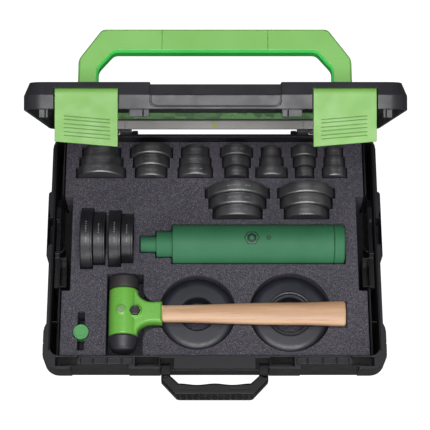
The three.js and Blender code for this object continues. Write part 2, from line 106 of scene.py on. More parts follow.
def loft(sections):
    """A closed body through rings of points that all have the same number of points."""
    bm = bmesh.new()
    rows = [[bm.verts.new(p) for p in section] for section in sections]
    for a, b in zip(rows, rows[1:]):
        for i in range(len(a)):
            j = (i + 1) % len(a)
            bm.faces.new((a[i], a[j], b[j], b[i]))
    bm.faces.new(rows[0])
    bm.faces.new(rows[-1])
    return finish_solid(bm)


def prism(points, z0, z1):
    return loft([[(x, y, z) for x, y in points] for z in (z0, z1)])


def box(x0, x1, y0, y1, z0, z1):
    return prism([(x0, y0), (x1, y0), (x1, y1), (x0, y1)], z0, z1)


def side_box(side, x0, x1, y0, y1, z0, z1):
    """A box given by its distance from the middle plane, on one side of it."""
    a, b = sorted((side * x0, side * x1))
    return box(a, b, y0, y1, z0, z1)


def side_boxes(side, *limits):
    """Several such boxes, each from a tuple of its six limits."""
    return [side_box(side, *six) for six in limits]


def along_x(points, x0, x1):
    """An outline given by y and z, drawn out along X."""
    return loft([[(x, y, z) for y, z in points] for x in (x0, x1)])


def quarter(x, y, rx, ry, steps, start=0):
    """A quarter turn of an ellipse about (x, y), from a start angle in degrees."""
    angles = [radians(start + 90 * i / steps) for i in range(steps + 1)]
    return [(x + rx * cos(a), y + ry * sin(a)) for a in angles]


def rounded_rectangle(half, y0, y1, radius, steps=6):
    corners = [(half - radius, y0 + radius, -90), (half - radius, y1 - radius, 0),
               (radius - half, y1 - radius, 90), (radius - half, y0 + radius, 180)]
    return [point for x, y, start in corners for point in quarter(x, y, radius, radius, steps, start)]


def inset(points, distance):
    """The outline moved inwards; a negative distance moves it outwards. Points run anticlockwise."""
    moved = []
    n = len(points)
    for i in range(n):
        before, here, after = (Vector(points[k % n]) for k in (i - 1, i, i + 1))
        a, b = (here - before).normalized(), (after - here).normalized()
        na, nb = Vector((-a.y, a.x)), Vector((-b.y, b.x))
        bisector = (na + nb) / (1 + na.dot(nb))
        moved.append(tuple(here + bisector * distance))
    return moved


def soften(points, which, radius, steps=4):
    """Rounds the named corners of an outline with short curves."""
    out = []
    n = len(points)
    for i, point in enumerate(points):
        if i not in which:
            out.append(point)
            continue
        here = Vector(point)
        a = (Vector(points[i - 1]) - here).normalized() * radius
        b = (Vector(points[(i + 1) % n]) - here).normalized() * radius
        for k in range(steps + 1):
            t = k / steps
            out.append(tuple(here + a * (1 - t) ** 2 + b * t ** 2))
    return out


def levels(points, steps):
    """A body whose outline is inset by a distance at each height: steps are (height, inset)."""
    return loft([[(x, y, z) for x, y in inset(points, d)] for z, d in steps])


def lathe(profile, segments=72):
    """A body turned about Z: the (radius, height) loop closes, or starts and ends on the axis."""
    bm = bmesh.new()
    rows = []
    for radius, height in profile:
        if radius < 1e-6:
            rows.append([bm.verts.new((0, 0, height))])
            continue
        angles = [2 * pi * i / segments for i in range(segments)]
        rows.append([bm.verts.new((radius * cos(a), radius * sin(a), height)) for a in angles])
    pairs = list(zip(rows, rows[1:]))
    if len(rows[0]) > 1:
        pairs.append((rows[-1], rows[0]))
    for a, b in pairs:
        for i in range(segments):
            j = (i + 1) % segments
            corners = [a[i % len(a)], a[j % len(a)], b[j % len(b)], b[i % len(b)]]
            bm.faces.new(list(dict.fromkeys(corners)))
    return finish_solid(bm)


def rod(radius, length, segments=40, chamfer=0.0):
    """A rod along Z, centred, with an optional chamfer at both ends."""
    h = length / 2
    profile = [(0, -h), (radius, -h), (radius, h), (0, h)]
    if chamfer:
        lower = [(radius - chamfer, -h), (radius, chamfer - h)]
        profile[1:3] = lower + [(radius, h - chamfer), (radius - chamfer, h)]
    return lathe(profile, segments)


def place(bm, axis="Z", at=(0, 0, 0)):
    """Turns a body made along Z to lie along X or Y, and moves it."""
    turn = {"X": Matrix.Rotation(pi / 2, 4, "Y"), "Y": Matrix.Rotation(-pi / 2, 4, "X")}
    bmesh.ops.transform(bm, matrix=Matrix.Translation(at) @ turn.get(axis, Matrix()), verts=bm.verts)
    return bm


def rod_x(radius, x0, x1, y, z, segments=40, chamfer=0.0):
    return place(rod(radius, abs(x1 - x0), segments, chamfer), "X", ((x0 + x1) / 2, y, z))


def rod_y(radius, x, y0, y1, z, segments=56):
    return place(rod(radius, y1 - y0, segments), "Y", (x, (y0 + y1) / 2, z))


def linked(name, data):
    """A new object in the scene."""
    obj = bpy.data.objects.new(name, data)
    bpy.context.scene.collection.objects.link(obj)
    return obj


def mesh_of(name, bm):
    """The body as a mesh; the body itself is freed."""
    mesh = bpy.data.meshes.new(name)
    bm.to_mesh(mesh)
    bm.free()
    return mesh


def join(*bodies):
    """Several separate shells in one mesh."""
    mesh = bpy.data.meshes.new("join")
    whole = bmesh.new()
    for body in bodies:
        body.to_mesh(mesh)
        whole.from_mesh(mesh)
        body.free()
    bpy.data.meshes.remove(mesh)
    return whole


def temporary(bm):
    return linked("operand", mesh_of("operand", bm))


def carve(solids, cuts):
    """The union of the solids less all the cuts, with flat faces merged again."""
    base = temporary(solids[0])
    operands = []
    for operation, bodies in (("UNION", solids[1:]), ("DIFFERENCE", cuts)):
        for body in bodies:
            operand = temporary(body)
            modifier = base.modifiers.new("step", "BOOLEAN")
            modifier.object = operand
            modifier.operation = operation
            modifier.solver = "MANIFOLD"
            operands.append(operand)
    bpy.context.view_layer.update()
    evaluated = base.evaluated_get(bpy.context.evaluated_depsgraph_get())
    result = bmesh.new()
    result.from_mesh(evaluated.to_mesh())
    evaluated.to_mesh_clear()
    for obj in [base] + operands:
        mesh = obj.data
        bpy.data.objects.remove(obj)
        bpy.data.meshes.remove(mesh)
    merge, flat = 0.005, radians(0.4)
    bmesh.ops.remove_doubles(result, verts=result.verts, dist=merge)
    bmesh.ops.dissolve_limit(result, angle_limit=flat, verts=result.verts, edges=result.edges)
    large = [f for f in result.faces if len(f.verts) > 4]
    bmesh.ops.triangulate(result, faces=large, quad_method="BEAUTY", ngon_method="BEAUTY")
    return result


# ---------- pieces ----------
def piece(name, bm, materials, body, nodes=(), bevel=0.0, matrix=Matrix(), segments=2, cast=0.0):
    """Makes the object in metres, rounds its edges, ties it to its body and hides the nodes that it replaces.

    With a cast size, the whole surface is rebuilt at that size and smoothed, as a casting is.
    """
    bmesh.ops.transform(bm, matrix=Matrix.Scale(MM, 4) @ matrix, verts=bm.verts)
    mesh = mesh_of(name, bm)
    for material in materials if isinstance(materials, list) else [materials]:
        mesh.materials.append(material)
    mesh.shade_smooth()
    mesh.set_sharp_from_angle(angle=SHARP)
    obj = linked(name, mesh)
    if bevel:
        modifier = obj.modifiers.new("edges", "BEVEL")
        modifier.width = bevel * MM
        modifier.segments = segments
        modifier.limit_method = "ANGLE"
        modifier.angle_limit = SHARP
        modifier.use_clamp_overlap = False
        modifier.harden_normals = True
    if cast:
        rebuild = obj.modifiers.new("rebuild", "REMESH")
        rebuild.mode = "VOXEL"
        rebuild.voxel_size = cast * MM
        rebuild.use_smooth_shade = True
        smooth = obj.modifiers.new("smooth", "SMOOTH")
        smooth.factor = 0.5
        smooth.iterations = 6
    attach(obj, body)
    if nodes:
        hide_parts(*nodes)
    return obj


# ---------- materials ----------
def rgb(*values):
    """A linear colour from display values of 0 to 255."""
    channels = [v / 255 for v in values]
    return [c / 12.92 if c < 0.04045 else ((c + 0.055) / 1.055) ** 2.4 for c in channels] + [1.0]


class Surface:
    """A material that is put together from noise patterns in the piece's own coordinates."""

    def __init__(self, name):
        self.material = bpy.data.materials.new(name)
        self.material.use_nodes = True
        self.tree = self.material.node_tree
        self.shader = self.tree.nodes["Principled BSDF"]
        self.coordinates = self.tree.nodes.new("ShaderNodeTexCoord")

    def node(self, kind, **inputs):
        node = self.tree.nodes.new(kind)
        for key, value in inputs.items():
            node.inputs[key.replace("_", " ")].default_value = value
        return node

    def link(self, output, target):
        self.tree.links.new(output, target)

    def mapped(self, stretch):
        mapping = self.node("ShaderNodeMapping", Scale=stretch)
        self.link(self.coordinates.outputs["Object"], mapping.inputs["Vector"])
        return mapping.outputs["Vector"]

    def noise(self, scale, detail=3.0, stretch=(1, 1, 1), distortion=0.0):
        node = self.node("ShaderNodeTexNoise", Scale=scale, Detail=detail, Distortion=distortion)
        self.link(self.mapped(stretch), node.inputs["Vector"])
        return node.outputs["Fac"]

    def ramp(self, source, stops):
        node = self.tree.nodes.new("ShaderNodeValToRGB")
        elements = node.color_ramp.elements
        while len(elements) < len(stops):
            elements.new(0.5)
        for element, (position, colour) in zip(elements, stops):
            element.position = position
            element.color = colour
        self.link(source, node.inputs["Fac"])
        return node.outputs["Color"]

    def mix(self, factor, a, b, blend="MIX"):
        node = self.tree.nodes.new("ShaderNodeMix")
        node.data_type = "RGBA"
        node.blend_type = blend
        for source, socket in ((factor, node.inputs[0]), (a, node.inputs[6]), (b, node.inputs[7])):
            if isinstance(source, (int, float, list, tuple)):
                socket.default_value = source
            else:
                self.link(source, socket)
        return node.outputs[2]

    def scaled(self, source, low, high, start=0.3, end=0.7):
        values = {"From_Min": start, "From_Max": end, "To_Min": low, "To_Max": high}
        node = self.node("ShaderNodeMapRange", **values)
        self.link(source, node.inputs["Value"])
        return node.outputs["Result"]

    def colour(self, source):
        self.link(source, self.shader.inputs["Base Color"])

    def rough(self, source):
        self.link(source, self.shader.inputs["Roughness"])

    def bump(self, source, strength, distance):
        node = self.node("ShaderNodeBump", Strength=strength, Distance=distance * MM)
        previous = self.shader.inputs["Normal"].links
        if previous:
            self.link(previous[0].from_socket, node.inputs["Normal"])
        self.link(source, node.inputs["Height"])
        self.link(node.outputs["Normal"], self.shader.inputs["Normal"])

    def value(self, **inputs):
        for key, value in inputs.items():
            self.shader.inputs[key.replace("_", " ")].default_value = value


def moulded(name, dark, light, rough, grain=1600, relief=0.05, blotch=14, **values):
    """Moulded plastic: cloudy colour, a fine eroded grain and uneven gloss."""
    s = Surface(name)
    cloud = s.noise(blotch, 4)
    fine = s.noise(grain, 3)
    base = s.ramp(cloud, [(0.32, rgb(*dark)), (0.68, rgb(*light))])
    speck = s.ramp(fine, [(0.3, (0.78, 0.78, 0.78, 1)), (0.7, (1.0, 1.0, 1.0, 1))])
    s.colour(s.mix(0.6, base, speck, "MULTIPLY"))
    s.rough(s.scaled(s.noise(60, 3), rough[0], rough[1]))
    s.bump(fine, 0.6, relief)
    s.value(**values)
    return s.material


def foam_material():
    s = Surface("speckled_foam")
    fine = s.noise(1350, 2)
    specks = s.ramp(fine, [(0.3, rgb(29, 29, 33)), (0.46, rgb(57, 56, 64)), (0.56, rgb(68, 67, 75)),
                           (0.7, rgb(128, 125, 133))])
    warm = s.ramp(s.noise(520, 2), [(0.55, (0, 0, 0, 1)), (0.72, (1, 1, 1, 1))])
    tinted = s.mix(warm, specks, s.mix(0.22, specks, rgb(104, 80, 82)))
    cloud = s.ramp(s.noise(9, 4), [(0.3, (0.86, 0.86, 0.88, 1)), (0.7, (1.08, 1.06, 1.05, 1))])
    s.colour(s.mix(1.0, tinted, cloud, "MULTIPLY"))
    s.rough(s.scaled(fine, 0.85, 1.0))
    s.bump(fine, 0.9, 0.25)
    s.bump(s.noise(380, 2), 0.4, 0.3)
    s.value(Specular_IOR_Level=0.25)
    return s.material


def turned(name, dark, light, rough, axis, spec=0.5, ior=1.5, lines=2600, sheen=0.35):
    """A turned or moulded round piece with fine lines round its axis."""
    s = Surface(name)
    stretch = {"X": (1, 0.02, 0.02), "Y": (0.02, 1, 0.02), "Z": (0.6, 0.6, 0.6)}[axis]
    fine = s.noise(lines, 2, stretch)
    base = s.ramp(s.noise(22, 4), [(0.3, rgb(*dark)), (0.7, rgb(*light))])
    streak = s.ramp(fine, [(0.3, (1 - sheen, 1 - sheen, 1 - sheen, 1)), (0.7, (1, 1, 1, 1))])
    s.colour(s.mix(0.7, base, streak, "MULTIPLY"))
    s.rough(s.scaled(s.noise(90, 3), rough[0], rough[1]))
    s.bump(fine, 0.35, 0.03)
    s.bump(s.noise(900, 2), 0.12, 0.03)
    s.value(IOR=ior, Specular_IOR_Level=spec)
    return s.material


def hickory_material():
    s = Surface("hickory")
    streaks = s.noise(150, 5, (0.05, 1, 1), 0.1)
    pores = s.noise(1500, 2, (0.035, 1, 1))
    rings = s.noise(40, 3, (0.06, 1, 1), 0.3)
    tones = [(0.3, rgb(167, 128, 96)), (0.5, rgb(189, 152, 120)), (0.72, rgb(202, 169, 139))]
    base = s.ramp(streaks, tones)
    figured = s.mix(s.scaled(rings, 0.0, 0.3, 0.5, 0.66), base, rgb(160, 118, 87))
    s.colour(s.mix(s.scaled(pores, 0.0, 0.5, 0.58, 0.74), figured, rgb(148, 108, 76)))
    s.rough(s.scaled(streaks, 0.42, 0.6))
    s.bump(pores, 0.35, 0.08)
    s.bump(streaks, 0.2, 0.15)
    s.value(Coat_Weight=0.15, Coat_Roughness=0.35)
    return s.material


def steel_material():
    s = Surface("pin_steel")
    brushed = s.noise(1800, 3, (0.03, 1, 1))
    s.colour(s.ramp(brushed, [(0.3, rgb(120, 122, 126)), (0.7, rgb(176, 178, 182))]))
    s.rough(s.scaled(brushed, 0.25, 0.45))
    s.bump(brushed, 0.3, 0.02)
    s.value(Metallic=1.0)
    return s.material


def card_material():
    s = Surface("printed_card")
    blocks = s.tree.nodes.new("ShaderNodeTexVoronoi")
    blocks.distance = "CHEBYCHEV"
    blocks.inputs["Scale"].default_value = 70
    s.link(s.mapped((1.0, 2.2, 2.2)), blocks.inputs["Vector"])
    patches = s.ramp(blocks.outputs["Color"], [(0.35, rgb(58, 104, 52)), (0.6, rgb(96, 148, 82))])
    s.colour(s.mix(s.scaled(s.noise(1100, 2), 0.0, 0.35), patches, rgb(60, 84, 56)))
    s.rough(s.scaled(s.noise(300, 2), 0.4, 0.6))
    s.bump(s.noise(900, 2), 0.2, 0.04)
    return s.material


# One plastic for tray and lid, in two copies: the lid's is lighter, painted light for the light on its
# upright face.
CASE = moulded("case_plastic", (21, 21, 24), (28, 28, 32), (0.4, 0.52), Specular_IOR_Level=0.3)
LID_SHELL = moulded("lid_plastic", (28, 28, 32), (36, 36, 41), (0.38, 0.5), Specular_IOR_Level=0.42)
BLACK = moulded("black_plastic", (10, 10, 12), (16, 16, 19), (0.28, 0.4), grain=1300, Specular_IOR_Level=0.24)
GLOSS = moulded("catch_plastic", (12, 12, 14), (19, 19, 22), (0.2, 0.3), grain=900, relief=0.02,
               Specular_IOR_Level=0.3)
GREEN = moulded("green_plastic", (98, 149, 60), (107, 158, 70), (0.42, 0.55), relief=0.03)
# Two copies of the green for the carry grip, both painted light: a lighter one on its outer faces for the
# light on its top, and a more saturated one on its inner faces for the bounce light in their shade.
GREEN_GRIP_PAINTED_LIT = moulded("green_plastic_painted_lit", (122, 182, 92), (131, 190, 102), (0.42, 0.55), relief=0.03)
GREEN_INNER_PAINTED_LIGHT = moulded("green_plastic_inner_painted_light", (66, 200, 84), (74, 212, 94), (0.42, 0.55), relief=0.03)
FOAM = foam_material()
RING_Y = turned("ring_plastic_y", (20, 20, 24), (29, 29, 34), (0.38, 0.48), "Y", spec=0.9, ior=2.0)
RING_X = turned("ring_plastic_x", (24, 24, 28), (34, 34, 39), (0.4, 0.5), "X")
RING_Z = turned("ring_plastic_z", (27, 28, 37), (36, 37, 47), (0.36, 0.5), "Z", lines=700, sheen=0.2)
MARK = moulded("print_grey", (118, 118, 124), (148, 148, 155), (0.5, 0.6))
ANODISED = turned("anodised_green", (44, 101, 68), (50, 108, 75), (0.6, 0.7), "X", spec=0.32, sheen=0.1)
INK = moulded("print_dark", (8, 22, 14), (14, 30, 20), (0.5, 0.6))
PAINT = moulded("mallet_paint", (92, 158, 54), (104, 170, 66), (0.3, 0.42), grain=420, relief=0.04)
EDGE = moulded("mallet_edge", (92, 122, 74), (120, 146, 104), (0.4, 0.5), grain=700, relief=0.1)
RUBBER_REAR = moulded("rubber_brown", (33, 30, 32), (43, 39, 42), (0.5, 0.65), grain=700, relief=0.08)
RUBBER_FRONT = moulded("rubber_black", (26, 26, 30), (36, 36, 42), (0.4, 0.55), grain=700, relief=0.08)
BOLT = moulded("bolt_black", (22, 22, 24), (36, 36, 39), (0.28, 0.4), grain=1200)
WOOD = hickory_material()
STEEL = steel_material()
CAP_GREEN = moulded("cap_plastic", (74, 148, 84), (88, 160, 98), (0.4, 0.5))
RAIL = moulded("rail_plastic", (132, 130, 128), (156, 153, 150), (0.3, 0.45), grain=700)
CARD = card_material()
OLIVE = moulded("rail_mark", (136, 140, 60), (160, 162, 84), (0.4, 0.5))


# ---------- tray ----------
def tray():
    """A band under the rim over a smaller base, with the foam's bay and the front handle's socket."""
    foot = 2.5
    band = rounded_rectangle(BODY_HALF, FRONT, BACK, CORNER)
    base = rounded_rectangle(BODY_HALF - 3, FRONT + 12.5, BACK, CORNER)
    solids = [
        prism(band, BAND_Z, RIM),
        levels(base, [(0, foot), (foot, 0), (BAND_Z + OVER, 0)]),
    ]
    for y0, y1, radius in ((-14, 80, 4), (FRONT, -95, 20)):
        flank = rounded_rectangle(HALF, y0, y1, radius)
        solids.append(prism(flank, BAND_Z, RIM))
    bay = rounded_rectangle(BAY["x"], BAY["front"], BAY["back"], BAY["corner"])
    cuts = [prism(bay, BAY["floor"], RIM + OVER)]
    late = []
    for side in SIDES:
        tray_side(side, cuts, late)
        tray_front(side, cuts, late)
        tray_back(side, solids, cuts)
    half = SOCKET["half"]
    cuts.append(box(-half, half, FRONT - OVER, FRONT + SOCKET["depth"], SOCKET["floor"], SOCKET["top"]))
    for y in (-60, 0, 60):
        cuts.append(box(-180, 180, y - 18, y + 18, -OVER, 1.2))
    shell = carve([carve(solids, cuts)] + late, [])
    piece("tray_shell", shell, CASE, "tray", ["case_tray"], bevel=0.7)


def tray_side(side, cuts, late):
    """Recessed outer panels, the window in the rim, its segments, and the liner inside."""
    outside, top = HALF + OVER, RIM + OVER
    rib, seam, panels = 1.2, 0.5, 4
    for y0, y1 in ((-88, -20), (86, 140)):
        step = (y1 - y0) / panels
        for i in range(panels):
            y = y0 + step * i
            cuts.append(side_box(side, 215, outside, y + rib, y + step - rib, BAND_Z + 3, 70))
    pad_window = (211, outside, 44, 74, 34, 60)
    rim_window = (213.6, 220.2, 5.4, 42.7, 50, top)
    cuts += side_boxes(side, pad_window, rim_window)
    for y in (-142, -130, -111):
        cuts.append(side_box(side, 219.6, outside, y - seam, y + seam, BAND_Z + 4, top))
    rim_groove = (212.9, 213.7, -140, 150, RIM - 1, top)
    catch_slot = (213, 215, -36, 96, 8, 38)
    cuts += side_boxes(side, rim_groove, catch_slot)
    for y0, y1 in ((BAY["front"] - 1, CATCH_BAY[0]), (CATCH_BAY[1], BAY["back"] + 1)):
        late.append(side_box(side, 201.8, 203.6, y0, y1, 2, 74))
    late.append(side_box(side, 203.2, 212.4, -96, -94.5, 2, 60))


def tray_front(side, cuts, late):
    """The latch's ledge with its dividers, the pockets for the lid's tabs, and the handle's socket."""
    top = RIM + OVER
    latch_gap, divider, rib = 1, 0.8, 1
    x0, x1 = LATCH["inner"] - latch_gap, LATCH["outer"] + latch_gap
    cuts.append(side_box(side, x0, x1, FRONT - OVER, FRONT + 6.8, BAND_Z - OVER, top))
    edges = [104.5, 119.4, 138.5, 156.4, 172.5]
    for x0, x1 in zip(edges, edges[1:]):
        cuts.append(side_box(side, x0 + divider, x1 - divider, FRONT + 6, FRONT + 14.6, RIM - 3.2, top))
    for x0, x1, bottom in ((71.5, 102, 44), (176.5, 204, 40)):
        cuts.append(side_box(side, x0, x1, FRONT + 3.5, FRONT + 15.6, bottom, top))
    leg_notch = (52.5, SOCKET["half"], FRONT - OVER, FRONT + SOCKET["depth"], 70, top)
    corner_slot = (188, 205, FRONT + 9.5, FRONT + 14, 6, 40)
    cuts += side_boxes(side, leg_notch, corner_slot)
    for x in (84, 97, 190, 200):
        late.append(side_box(side, x - rib, x + rib, FRONT + 11.2, FRONT + 13, 8, BAND_Z + 0.6))


def tray_back(side, solids, cuts):
    """Two knuckles on brackets for each hinge pin, a block beside them, and panels in the wall."""
    radius = KNUCKLE["radius"]
    bracket = [(BACK - 1, RIM - 26), (BACK + 4, RIM - 6), (BACK - 1, RIM - 4)]
    for x0, x1 in KNUCKLE["tray"]:
        solids.append(side_box(side, x0, x1, BACK - 2, HINGE_Y, RIM - radius, RIM))
        solids.append(rod_x(radius, side * x0, side * x1, HINGE_Y, RIM, 32))
        solids.append(along_x(bracket, side * x0, side * x1))
    solids.append(side_box(side, 103.5, 113, BACK - 2, BACK + 5.5, RIM - 8, RIM - 0.5))
    inner, outer = KNUCKLE["tray"][0][0] - OVER, KNUCKLE["tray"][1][1] + OVER
    cuts.append(rod_x(KNUCKLE["bore"], side * inner, side * outer, HINGE_Y, RIM, 24))
    for x0, x1 in ((20, 96), (134, 166)):
        cuts.append(side_box(side, x0, x1, BACK - 1.5, BACK + OVER, 12, 62))


# ---------- foam ----------
def pocket_along(axis, low, high, fit=POCKET_FIT):
    """A pocket with a round bottom that fits one ring or sleeve, open at the top."""
    z = (low.z + high.z) / 2
    low, high = low - Vector((fit,) * 3), high + Vector((fit,) * 3)
    middle = (low + high) / 2
    radius = (high.z - low.z) / 2
    if axis == "Y":
        round_part = rod_y(radius, middle.x, low.y, high.y, z)
        return [round_part, box(middle.x - radius, middle.x + radius, low.y, high.y, z, POCKET_TOP)]
    round_part = rod_x(radius, low.x, high.x, middle.y, z, 56)
    return [round_part, box(low.x, high.x, middle.y - radius, middle.y + radius, z, POCKET_TOP)]


def foam():
    """A block with a pocket for every tool and a notch for each side catch."""
    low, high = extent("tray_foam")
    body = box(low.x, high.x, low.y, high.y, low.z, high.z)
    cuts = []
    for side in SIDES:
        cuts.append(side_box(side, 189.5, 202, *CATCH_BAY, low.z - OVER, POCKET_TOP))
    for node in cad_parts:
        a, b = extent(node)
        if node.startswith("stack"):
            cuts += pocket_along("Y", a, b)
        elif node.startswith("pair"):
            cuts += pocket_along("X", a, b)
            cuts.append(box(a.x - POCKET_FIT, b.x + POCKET_FIT, a.y - 4, b.y, 60, POCKET_TOP))
        elif node.startswith("flat_ring"):
            depth = 40
            disc = rod((b.x - a.x) / 2 + 0.8, depth, 96)
            z = a.z - POCKET_FIT + depth / 2
            cuts.append(place(disc, "Z", ((a.x + b.x) / 2, (a.y + b.y) / 2, z)))
    for node, end in SLEEVE_ENDS.items():
        a, b = extent(node)
        b.x = end - POCKET_FIT
        cuts += pocket_along("X", a, b, SLEEVE_FIT)
    cuts += mallet_pocket()
    block = carve([body], cuts)
    obj = piece("foam_insert", block, FOAM, "tray", ["tray_foam"])


MALLET_LOW, MALLET_HIGH = extent("mallet_face_rear")
MALLET_X = (MALLET_LOW.x + MALLET_HIGH.x) / 2
MALLET_Z = (MALLET_LOW.z + MALLET_HIGH.z) / 2
HANDLE_LOW, HANDLE_HIGH = extent("mallet_handle")
MALLET_Y = (HANDLE_LOW.y + HANDLE_HIGH.y) / 2
HEAD_HALF = MALLET_HIGH.y - MALLET_Y
FACE_RADIUS = (MALLET_HIGH.x - MALLET_LOW.x) / 2


def neck_outline(x_back, x_head, half_head, x_neck, half_neck, x_end, half_end):
    """The housing seen from above: a wide head that runs in fillets into the neck."""
    fillet = quarter(x_neck, half_head, x_head - x_neck, half_neck - half_head, 8)
    upper = fillet + [(x_end, half_end)]
    right = [(x_back, half_head)] + upper
    points = [(x, MALLET_Y + y) for x, y in right]
    return points[::-1] + [(x, MALLET_Y - y) for x, y in right]


def mallet_pocket():
    """Pockets for the mallet's head, neck and handle, and for the small cap with its finger slot."""
    head_floor, neck_floor, slot_floor = 22, 34, 22
    far = HANDLE_HIGH.x + 2.5
    head = box(MALLET_X - FACE_RADIUS - 2.8, MALLET_X + FACE_RADIUS + 5.5,
               MALLET_Y - HEAD_HALF - 1.5, MALLET_Y + HEAD_HALF + 2.5, head_floor, POCKET_TOP)
    outline = neck_outline(MALLET_X, MALLET_X + 25, 36, MALLET_X + 42, 18, -61, 17.5)
    neck = prism(outline, neck_floor, POCKET_TOP)
    handle = box(-62, far, MALLET_Y - 15, MALLET_Y + 15, MALLET_Z - 12, POCKET_TOP)
    end = box(140, far, MALLET_Y - 18.3, MALLET_Y + 18.3, MALLET_Z - 13, POCKET_TOP)
    low, high = extent("green_cap")
    x, y = (low.x + high.x) / 2, (low.y + high.y) / 2
    depth = 20
    hole = rod((high.x - low.x) / 2 + POCKET_FIT, depth, 48)
    cap = place(hole, "Z", (x, y, low.z - POCKET_FIT + depth / 2))
    slot = prism(rounded_rectangle(4.9, y - 25, y + 28, 2), slot_floor, POCKET_TOP)
    bmesh.ops.translate(slot, vec=(x, 0, 0), verts=slot.verts)
    return [head, neck, handle, end, cap, slot]


# ---------- impact rings ----------
def ring_profile(radius, bore, length, neck):
    """Chamfered edges, a shallow neck towards the next ring, and a step inside the mouth."""
    h = length / 2
    edge = 1.8
    shoulder = h - edge - neck
    outer = [(radius - edge, -h), (radius - 0.29 * edge - 0.3, 0.29 * edge - h),
             (radius - 0.1, 0.7 * edge - h), (radius, edge + 0.3 - h), (radius, shoulder)]
    outer += [(radius - 0.8, shoulder + 0.6), (radius - 0.8, h - 0.5), (radius - 1.2, h)]
    mouth = min(bore + 0.45 * (radius - bore), radius - 2.6)
    step = h - 2.4
    inner = [(mouth, h), (mouth - 0.8, step), (bore + 0.9, step), (bore, step - 0.9)]
    return [(bore, 0.8 - h), (bore + 0.8, -h)] + outer + inner


def inner_radius(node, axis):
    """The bore of a ring, from the CAD node's own points."""
    low, high = extent(node)
    middle = (low + high) / 2
    others = [i for i in range(3) if i != axis]
    spans = []
    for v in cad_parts[node].data.vertices:
        spans.append(hypot(*(v.co[i] * 1000 - middle[i] for i in others)))
    return min(spans)


def dashes(radius, width, count, height, turn=0.0):
    """A row of short printed dashes round the top of a ring that lies along Z here."""
    sunk, proud = 0.3, 0.07
    marks = []
    for i in range(count):
        angle = turn + (i - (count - 1) / 2) * width / radius
        length = 0.62 * width * (0.75 + 0.25 * cos(2.6 * i))
        mark = box(radius - sunk, radius + proud, -length / 2, length / 2, -height / 2, height / 2)
        bmesh.ops.transform(mark, matrix=Matrix.Rotation(angle, 4, "Z"), verts=mark.verts)
        marks.append(mark)
    return marks


def ring(node, axis, body):
    """One impact ring with its printed size marks on the side that faces up."""
    index = "XYZ".index(axis)
    low, high = extent(node)
    length = high[index] - low[index]
    radius = (high.z - low.z) / 2
    neck = 1.2 if radius < 40 else 0.8
    turned_body = lathe(ring_profile(radius, inner_radius(node, index), length, neck), 96)
    up = pi if axis == "X" else -pi / 2
    mark_height = 1.15
    row = dashes(radius, max(1.5, radius * 0.085), 5, mark_height, up - 0.12)
    row += dashes(radius, max(1.2, radius * 0.06), 3, mark_height, up + 0.32)
    count = len(turned_body.faces)
    whole = join(turned_body, *row)
    whole.faces.ensure_lookup_table()
    for face in whole.faces[count:]:
        face.material_index = 1
    place(whole, axis, (low + high) / 2)
    material = RING_Y if axis == "Y" else RING_X
    piece(f"{node}_turned", whole, [material, MARK], body, [node])


def flat_ring(node):
    """A ring that lies flat, with a domed outer shoulder; the larger one has a groove and a seat."""
    low, high = extent(node)
    radius = (high.x - low.x) / 2
    bore = inner_radius(node, 2)
    top = high.z
    shoulder, rise = 12, 8.2
    profile = [(bore, low.z), (radius - 1, low.z), (radius, low.z + 1)]
    profile += quarter(radius - shoulder, top - 9, shoulder, rise, 8)
    if radius > 51.5:
        seat = bore + 5.0
        profile += [(seat + 2.2, top - 0.3), (seat + 1.6, top - 1.6), (seat + 0.9, top - 1.6)]
        profile += [(seat + 0.5, top - 0.2), (seat - 0.8, top - 0.5), (seat - 1.2, top - 5.5)]
        profile += [(bore + 0.8, top - 5.5), (bore, top - 6.3)]
    else:
        profile += [(bore + 1.6, top - 0.5), (bore, top - 2)]
    body = lathe(profile, 128)
    place(body, "Z", ((low.x + high.x) / 2, (low.y + high.y) / 2, 0))
    piece(f"{node}_turned", body, RING_Z, node, [node])


def rings():
    for node in list(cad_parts):
        if node.startswith("stack"):
            ring(node, "Y", node.split("_")[0])
        elif node.startswith("pair"):
            ring(node, "X", node.split("_")[0])
        elif node.startswith("flat_ring"):
            flat_ring(node)


# ---------- impact sleeves ----------
def wrapped(points_out, points_in, radius, x, y, z, proud=0.06):
    """A thin printed band between two outlines, wrapped round the top of a rod along X."""
    bm = bmesh.new()

    def wrap(point, lift):
        angle = point[1] / radius
        return (x + point[0], y + (radius + lift) * sin(angle), z + (radius + lift) * cos(angle))

    n = len(points_out)
    rows = [[bm.verts.new(wrap(p, lift)) for p in points] for points, lift in
            ((points_out, -0.2), (points_out, proud), (points_in, proud), (points_in, -0.2))]
    for k in range(4):
        a, b = rows[k], rows[(k + 1) % 4]
        for i in range(n):
            j = (i + 1) % n
            bm.faces.new((a[i], a[j], b[j], b[i]))
    return finish_solid(bm)


def polygon(sides, radius, per_side=6, turn=0.0):
    """The outline of a regular polygon, with extra points along its sides so that it can be wrapped."""
    points = []
    for i in range(sides):
        a, b = (turn + 2 * pi * k / sides for k in (i, i + 1))
        for j in range(per_side):
            t = j / per_side
            points.append((radius * (cos(a) * (1 - t) + cos(b) * t),
                           radius * (sin(a) * (1 - t) + sin(b) * t)))
    return points


